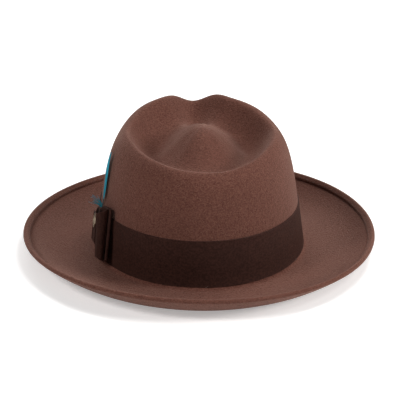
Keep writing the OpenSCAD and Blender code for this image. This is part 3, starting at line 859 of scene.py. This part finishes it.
# ---- stud pin ----
PIN_FACE = KNOT_FRONT + KNOT_T + 0.1
PIN_R = 5.75
BEADS, BEAD_R = 30, 0.26


def lathe(profile, base, sides=72, ripple=None):
    """Turns a (radius, height) profile about the pin's axis; base is the height of its zero."""
    a = circle(sides)
    rows = []
    for r, h in profile:
        lift = 0 if ripple is None else ripple(r, a)
        rows.append(in_bow(base + h + lift + 0 * a, r * np.cos(a), PIN_UP + r * np.sin(a)))
    return np.stack(rows)


def build_pin():
    """The stud's head with petals and a beaded rim, its post and its clutch."""
    soup = Soup()

    def petals(r, a):
        return 0.10 * np.cos(8 * a) * math.exp(-((r - 2.5) / 0.8) ** 2)

    head = [(0.02, 0.02), (PIN_R - 0.5, 0.02), (PIN_R - 0.2, 0.1), (PIN_R, 0.35), (PIN_R, 0.75),
            (PIN_R - 0.15, 1.05), (PIN_R - 0.5, 1.25), (PIN_R - 0.9, 1.28), (PIN_R - 1.2, 1.12),
            (PIN_R - 1.4, 0.86), (PIN_R - 1.8, 0.78), (3.3, 0.85), (2.9, 0.98),
            (2.5, 1.05), (2.1, 1.0),
            (1.75, 0.92), (1.5, 1.1), (1.3, 1.35), (0.95, 1.52), (0.5, 1.6), (0.02, 1.62)]
    head = [(r, 0.78 * h) for r, h in head]
    soup.grid(lathe(head, PIN_FACE, ripple=petals), wrap_cols=True, caps=True)
    for i in range(BEADS):
        t = 2 * np.pi * i / BEADS
        u = np.linspace(0.05, np.pi - 0.05, 6)
        v = circle(8)
        r = BEAD_R
        c = (PIN_R - 0.62) * np.array([math.cos(t), math.sin(t)])
        x = PIN_FACE + 0.90 + r * np.cos(u)[:, None] + 0 * v[None, :]
        y = c[0] + r * np.sin(u)[:, None] * np.cos(v)[None, :]
        z = PIN_UP + c[1] + r * np.sin(u)[:, None] * np.sin(v)[None, :]
        soup.grid(in_bow(x, y, z), wrap_cols=True, caps=True)
    soup.build("pin_stud_head", "pin", METAL, "pin_head")
    post = [(0.02, 0), (0.4, 0), (0.49, 0.12), (0.49, PIN_FACE), (0.02, PIN_FACE)]
    soup = Soup()
    soup.grid(lathe(post, CLUTCH_LOW + 0.1, 32), wrap_cols=True, caps=True)
    soup.build("pin_stud_post", "pin", METAL, "pin_post")
    clutch = [(0.53, 0), (1.8, 0), (2.1, 0.08), (2.2, 0.2), (2.18, 0.38), (2.0, 0.5), (1.6, 0.52),
              (1.0, 0.47), (0.53, 0.5)]
    soup = Soup()
    soup.grid(lathe(clutch, CLUTCH_LOW, 48), wrap_rows=True, wrap_cols=True)
    soup.build("pin_stud_clutch", "pin", METAL, "pin_clutch")


# ---- inside of the crown ----
SWEAT_STITCHES = 96


def build_sweatband():
    """The leather band with its rolled top, and the reed, tape and stitches at its foot."""
    a = circle(360)
    wave = 0.10 * np.sin(5 * a) + 0.07 * np.sin(11 * a + 1)
    inner = SWEAT_OFF - SWEAT_T
    section = []
    for h in (0, 0.3, 0.8, 2.2, 2.9, 3.6, 5, 9, 14, 20, 26, 29.5, 30.5, 31.2, 31.7):
        roll = 0.25 * math.exp(-((SWEAT_H - 1.2 - h) / 0.8) ** 2)
        dent = 0.14 * math.exp(-((h - 2.9) / 0.45) ** 2)
        section.append((inner + 0.12 - roll + dent + wave * 0.4, SWEAT_Z + h))
    for h in (31.7, 24, 12, 0):
        section.append((SWEAT_OFF - 0.06 + 0 * a, SWEAT_Z + h))
    build_ring(a, section, "sweatband_leather", LEATHER, "sweatband")

    reed_z, reed_off = SWEAT_Z - 1.4, SWEAT_OFF - SWEAT_T / 2
    section = [(reed_off + 0.54 * math.cos(k), reed_z + 0.54 * math.sin(k)) for k in circle(12)]
    build_ring(circle(240), section, "sweatband_reed_cord", REED, "sweatband_reed")

    t = np.radians(np.linspace(140, 400, 15))
    section = [(reed_off + 0.93 * math.cos(k), reed_z + 0.93 * math.sin(k)) for k in t]
    section += [(reed_off + 0.71 * math.cos(k), reed_z + 0.71 * math.sin(k)) for k in t[::-1]]
    a = circle(420)
    weave = 0.03 * np.cos(140 * a)
    section = [(off + weave, z) for off, z in section]
    build_ring(a, section, "reed_tape_cloth", TAPE, "reed_tape")

    soup = Soup()
    for i in range(SWEAT_STITCHES):
        t0 = 2 * np.pi * i / SWEAT_STITCHES
        off = SWEAT_OFF - SWEAT_T - 0.42
        p = wall_beside(t0 - 0.018, SWEAT_Z + 3, off)
        q = wall_beside(t0 + 0.018, SWEAT_Z + 3, off)
        out = unit(wall_beside(t0, SWEAT_Z + 3, off - 5) - wall_beside(t0, SWEAT_Z + 3, off))
        soup.tube(stitch_path(p, q, 0.3, out), 0.17, 6)
    soup.build("sweatband_threads", "hat", LEATHER_THREAD, "sweatband_stitching")


def build_sweatband_bow():
    """A flat ribbon bow over the sweatband's rear seam."""
    z0 = SWEAT_Z + 9
    y0 = float(wall_beside(-np.pi / 2, z0, SWEAT_OFF - SWEAT_T - 1.9)[1])
    soup = Soup()
    for side in (-1, 1):
        t = np.linspace(0, 1, 40)
        ang = 2 * np.pi * t
        lx = 2.0 + 9.6 * (0.5 - 0.5 * np.cos(ang)) ** 0.8
        depth = 0.85 + 0.55 * np.sin(ang) * (0.5 - 0.5 * np.cos(ang))
        rows_out, rows_in = [], []
        for h in (-1, -0.95, -0.6, -0.2, 0.2, 0.6, 0.95, 1):
            half = lerp(1.5, 4.0, smooth((lx - 2) / 8))
            rows_out.append(stack(side * lx, y0 + depth, z0 + h * half))
            rows_in.append(stack(side * (lx - 0.12 * np.sign(lx - 6)),
                                 y0 + 0.85 + (depth - 0.85) * 0.62, z0 + h * half))
        soup.grid(np.stack(rows_out + rows_in[::-1]), wrap_rows=True, wrap_cols=True)
    ang = circle(32)
    sx = np.sign(np.cos(ang)) * np.abs(np.cos(ang)) ** 0.5
    sy = np.sign(np.sin(ang)) * np.abs(np.sin(ang)) ** 0.5
    rows = []
    for h, k in ((-2.1, 0.7), (-2.0, 0.95), (-1.0, 1.02), (0, 0.94),
                 (1.0, 1.02), (2.0, 0.95), (2.1, 0.7)):
        rows.append(stack(1.9 * sx * k, y0 + 1.05 + 1.0 * sy * k, z0 + h))
    soup.grid(np.stack(rows), wrap_cols=True, caps=True)
    soup.build("sweatband_seam_bow", "hat", TAPE, "sweatband_bow")


def build_lining():
    """Satin side panel with upright folds, the tip, the clear sheet and the piping cord."""
    a = circle(600)
    fold = (0.5 - 0.5 * np.cos(46 * a + 1.2 * np.sin(3 * a))) ** 1.5
    low, high = SWEAT_Z + 5, BRIM_Z + LINING_TOP
    section = []
    for off, shares in ((LINING_OFF - LINING_T + 0.02, np.linspace(0, 1, 18)),
                        (LINING_OFF - 0.02, np.linspace(1, 0, 8))):
        for h in shares:
            deep = (0.15 + 1.25 * h) * fold + 0.25 * np.sin(7 * a + 5 * h) ** 2
            section.append((off - deep, low + (high - low) * h))
    build_ring(a, section, "lining_side_satin", SATIN, "lining_side")

    tip_off = LINING_OFF - LINING_T - 0.5

    def dome(name, z, off, thick, sag, material, node, pucker):
        """An oval sheet that rises by sag at its middle and puckers at its rim."""
        t = circle(240)
        rim = wall_beside(t, z, off)
        top_rows, low_rows = [], []
        for r in np.linspace(0.02, 1, 26):
            wrinkle = pucker * np.cos(60 * t + 2 * np.sin(5 * t)) * smooth((r - 0.8) / 0.2)
            ripple = pucker * 0.8 * np.sin(3 * t + 4 * r) * r * (1 - r)
            zz = z + sag * (1 - r * r) + wrinkle + ripple
            top_rows.append(stack(rim[:, 0] * r, rim[:, 1] * r, zz + thick))
            low_rows.append(stack(rim[:, 0] * r, rim[:, 1] * r, zz))
        soup = Soup()
        soup.grid(np.stack(top_rows + low_rows[::-1]), wrap_cols=True, caps=True)
        soup.build(name, "hat", material, node)

    dome("lining_tip_satin", high - 2.5, tip_off - 1.7, 0.35, 4.0,
         SATIN, "lining_tip", 0.16)
    dome("tip_clear_sheet", high - 2.9, tip_off - 22, 0.3, 3.2,
         CLEAR, "tip_shield", 0.06)

    a = circle(720)
    section = []
    for k in circle(10):
        radius = 0.62 + 0.07 * np.cos(110 * a + 2 * k)
        section.append((tip_off - 2.6 + radius * math.cos(k), high - 3.5 + radius * math.sin(k)))
    build_ring(a, section, "lining_piping_cord", PIPING, "lining_piping")


def build_label():
    """A blank woven tab with hemmed edges, right of the sweatband's rear seam."""
    low = SWEAT_Z + 12
    cols = 40
    k = np.arange(cols)
    a = np.radians(np.linspace(286, 294, cols))
    off = SWEAT_OFF - SWEAT_T
    edge = 0.12 * np.exp(-((k - 2.5) / 1.2) ** 2) + 0.12 * np.exp(-((k - 36.5) / 1.2) ** 2)
    rows = []
    for h in (0, 0.3, 0.9, 1.5, 4, 8, 10.5, 11.1, 11.7, 12):
        hem = 0.10 * math.exp(-((min(h, 12 - h) - 0.9) / 0.4) ** 2)
        rows.append(wall_beside(a, low + h, off - 0.38 - hem - edge + 0.02 * np.cos(np.pi * k)))
    for h in (12, 8, 4, 0):
        rows.append(wall_beside(a, low + h, off - 0.17 + 0 * a))
    grid = np.stack(rows)
    soup = Soup()
    soup.grid(grid, wrap_rows=True)
    for end in (0, cols - 1):
        soup.add(grid[:, end], [list(range(len(rows)))])
    soup.build("size_tab", "hat", LABEL, "size_label")


QUILL = plain_material("quill", (0.020, 0.050, 0.060), (0.045, 0.040, 0.032), 500, 0.45)
TEAL = feather_material("feather", (0.001, 0.400, 0.550), (0.000, 0.140, 0.230), 0.5)
DOWN = feather_material("down", (0.030, 0.26, 0.33), (0.010, 0.10, 0.14), 0.5)
REED = plain_material("reed", (0.5, 0.46, 0.38), (0.4, 0.36, 0.29), 900, 0.5)
TAPE = plain_material("tape", (0.035, 0.018, 0.013), (0.06, 0.033, 0.025), 2400, 0.75, 0.5)
LEATHER_THREAD = thread_material("leather_thread", (0.10, 0.055, 0.032), (0.16, 0.095, 0.06))
PIPING = plain_material("piping", (0.17, 0.095, 0.045), (0.26, 0.155, 0.08), 1500, 0.5, 0.4)
LABEL = plain_material("label", (0.58, 0.54, 0.45), (0.44, 0.40, 0.33), 2200, 0.8, 0.5)
CLEAR = clear_material()

build_band()
build_tacks()
build_welt_stitching()
build_loop(True, "bow_inner_ribbon", "bow_inner_loop")
build_loop(False, "bow_outer_ribbon", "bow_outer_loop")
build_knot()
build_quill()
build_vanes()
build_barbs()
build_pin()
build_sweatband()
build_sweatband_bow()
build_lining()
build_label()


# ---- stage: floor, light and camera ----
FLOOR_HALF, FLOOR_GLOW, WORLD_LIGHT = 6.0, 0.34, 0.08
LIGHT_AIM = (0, 0, 0.05)
# name, place and size in metres, power in watts, colour
SOFTBOXES = (
    ("key", (1.8, -0.6, 0.9), 0.7, 27, (1.0, 0.985, 0.965)),
    ("right", (1.5, -0.5, 1.8), 0.8, 9.5, (1.0, 0.985, 0.965)),
    ("left", (-1.6, -0.9, 1.6), 0.8, 26, (1.0, 0.98, 0.97)),
    ("top", (0.7, 0.7, 2.0), 0.8, 19, (1.0, 0.99, 0.98)),
    ("behind", (-0.3, 1.8, 1.0), 1.2, 14, (1.0, 0.99, 0.98)),
    ("fill", (0.2, -2.2, 1.2), 1.2, 4.5, (1.0, 0.98, 0.97)),
    ("under", (0.3, 0.2, -1.6), 1.0, 11, (1.0, 1.0, 1.0)),
)


def build_stage():
    """A floor that only the camera sees glow and that is clear from below, and the lights."""
    mesh = bpy.data.meshes.new("floor")
    half = FLOOR_HALF
    mesh.from_pydata([(-half, -half, 0), (half, -half, 0), (half, half, 0), (-half, half, 0)],
                     [], [(0, 1, 2, 3)])
    floor = add_object("floor", mesh)
    m = Nodes("floor")
    path = m.tree.nodes.new("ShaderNodeLightPath").outputs
    seen = path["Is Camera Ray"]
    backfacing = m.tree.nodes.new("ShaderNodeNewGeometry").outputs["Backfacing"]
    clear = m.math("MAXIMUM", backfacing, path["Is Shadow Ray"])
    m.finish((0.9, 0.9, 0.9), 0.95, Specular_IOR_Level=0.0, Emission_Color=(1, 1, 1, 1),
             Emission_Strength=m.math("MULTIPLY", seen, FLOOR_GLOW),
             Alpha=m.math("SUBTRACT", 1.0, clear))
    mesh.materials.append(m.mat)

    world = bpy.data.worlds.new("studio")
    bpy.context.scene.world = world
    world.use_nodes = True
    back = world.node_tree.nodes["Background"]
    back.inputs["Color"].default_value = (1.0, 1.0, 1.0, 1.0)
    back.inputs["Strength"].default_value = WORLD_LIGHT

    for name, at, size, power, color in SOFTBOXES:
        light = bpy.data.lights.new(name, "AREA")
        light.shape = "DISK"
        light.size = size
        light.energy = power
        light.color = color
        obj = add_object(name, light)
        obj.location = at
        aim = Vector(LIGHT_AIM) - Vector(at)
        obj.rotation_euler = aim.to_track_quat("-Z", "Y").to_euler()


def build_camera():
    """The viewing angle: from behind, 22 degrees above the table, a little to the bow's side."""
    elevation, aside, distance = math.radians(22), math.radians(3.4), 1.8
    target = Vector((0, 0, (BRIM_Z + 1.6) * MM))
    away = Vector((-math.sin(aside) * math.cos(elevation), -math.cos(aside) * math.cos(elevation),
                   math.sin(elevation)))
    camera = bpy.data.cameras.new("camera")
    camera.sensor_width = 36
    camera.lens = 192.8
    camera.shift_x = 0.00275
    camera.shift_y = 0.0975
    obj = add_object("camera", camera)
    obj.location = target + away * distance
    obj.rotation_euler = (-away).to_track_quat("-Z", "Y").to_euler()
    bpy.context.scene.camera = obj
    bpy.context.scene.view_settings.view_transform = "Standard"


build_stage()
build_camera()
